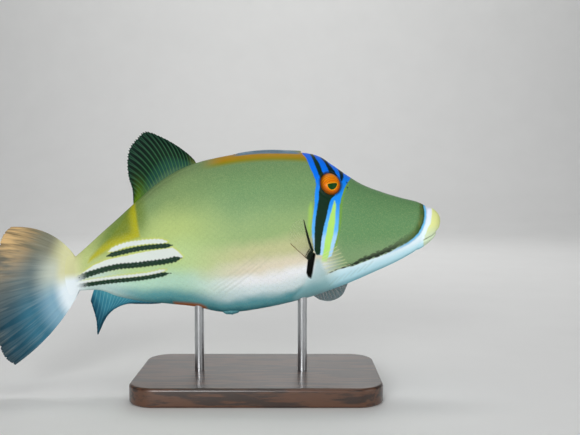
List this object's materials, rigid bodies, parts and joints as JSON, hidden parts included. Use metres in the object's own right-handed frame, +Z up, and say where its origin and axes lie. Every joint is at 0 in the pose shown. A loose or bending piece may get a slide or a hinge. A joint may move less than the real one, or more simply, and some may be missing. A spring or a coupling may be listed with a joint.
{
  "type": "picasso triggerfish model",
  "caption": "Still life-size model of a picasso triggerfish, nose slightly up, fins spread, held by slim rods on a flat display base.",
  "frame": {"origin": "centre of the stand base's underside, on the surface that the model rests on", "axes": "+X towards the fish's head, +Y towards its left flank, +Z up"},
  "size_m": [0.2371, 0.0828, 0.1394],
  "materials": {
    "fish_skin": "satin painted skin with fine scales",
    "fin_membrane": "thin satin membrane over raised rays",
    "eye": "clear gloss over an orange ring and dark pupil",
    "stand_wood": "dark satin varnish",
    "stand_steel": "brushed"
  },
  "bodies": {
    "root": {"head": "fish_skin", "torso": "fish_skin", "tail_stalk": "fish_skin", "eye_right": "eye", "eye_left": "eye", "soft_dorsal_fin": "fin_membrane", "anal_fin": "fin_membrane", "caudal_fin": "fin_membrane", "pectoral_fin_right": "fin_membrane", "pectoral_fin_left": "fin_membrane", "first_dorsal_fin": "fin_membrane", "pelvic_spine": "fish_skin", "stand_base": "stand_wood", "stand_rod_front": "stand_steel", "stand_rod_rear": "stand_steel"}
  },
  "joints": []
}
